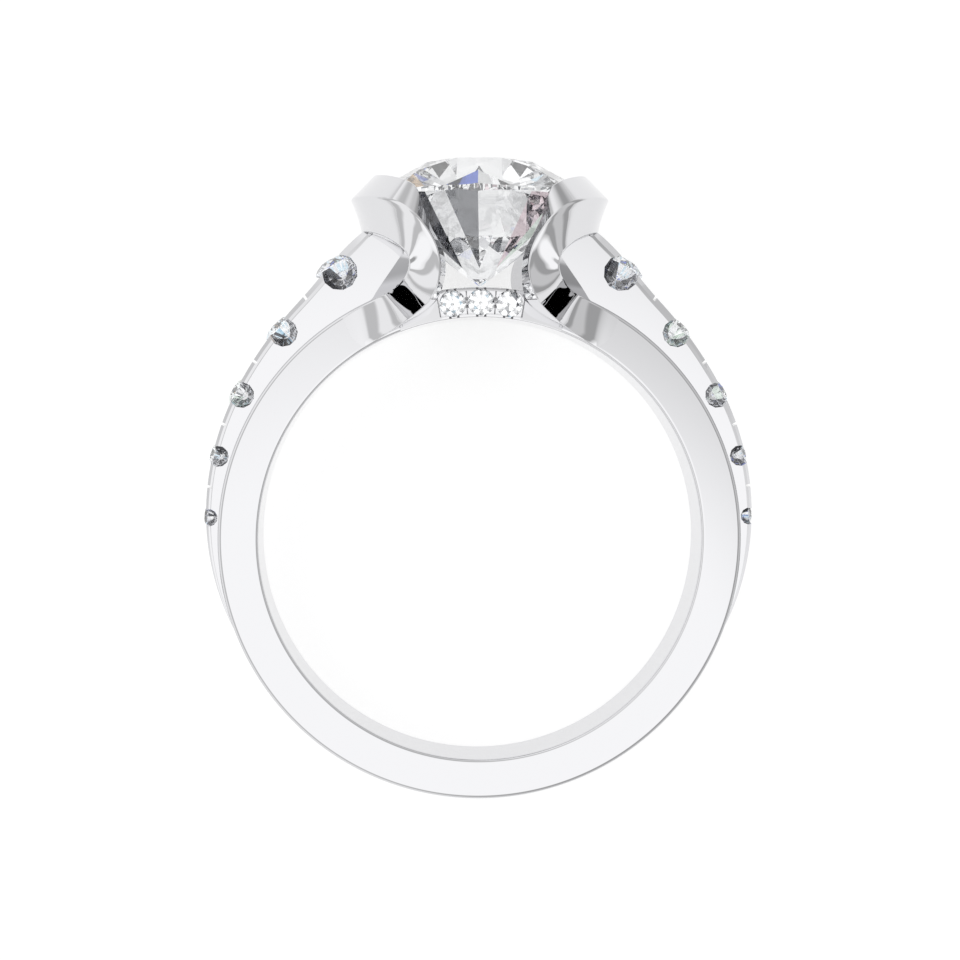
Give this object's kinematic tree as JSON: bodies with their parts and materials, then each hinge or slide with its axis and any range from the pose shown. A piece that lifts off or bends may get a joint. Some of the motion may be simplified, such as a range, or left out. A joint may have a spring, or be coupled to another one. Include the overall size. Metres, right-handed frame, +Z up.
{
  "type": "bezel set ring",
  "caption": "White metal ring with a round brilliant between two half bezels, graduated stones set in notched shoulders and a gallery row of small stones.",
  "frame": {"origin": "middle of the bounding box's bottom, on the surface the ring lies on", "axes": "the ring lies on its back side: +X across the finger hole, +Y from the bottom of the shank towards the head, +Z up off the table, nearly along the finger (the finger axis leans back by the resting angle)"},
  "size_m": [0.0212, 0.0246, 0.0085],
  "materials": {
    "white_metal": "polished white gold",
    "centre_stone": "faceted diamond, round brilliant cut",
    "small_stones": "faceted diamond, small brilliants"
  },
  "bodies": {
    "root": {"band_and_bezel": "white_metal", "centre_stone": "centre_stone", "side_stone_left_1": "small_stones", "side_stone_left_2": "small_stones", "side_stone_left_3": "small_stones", "side_stone_left_4": "small_stones", "side_stone_left_5": "small_stones", "side_stone_right_1": "small_stones", "side_stone_right_2": "small_stones", "side_stone_right_3": "small_stones", "side_stone_right_4": "small_stones", "side_stone_right_5": "small_stones", "gallery_stone_front_1": "small_stones", "gallery_stone_front_2": "small_stones", "gallery_stone_front_3": "small_stones", "gallery_stone_back_1": "small_stones", "gallery_stone_back_2": "small_stones", "gallery_stone_back_3": "small_stones"}
  },
  "joints": []
}
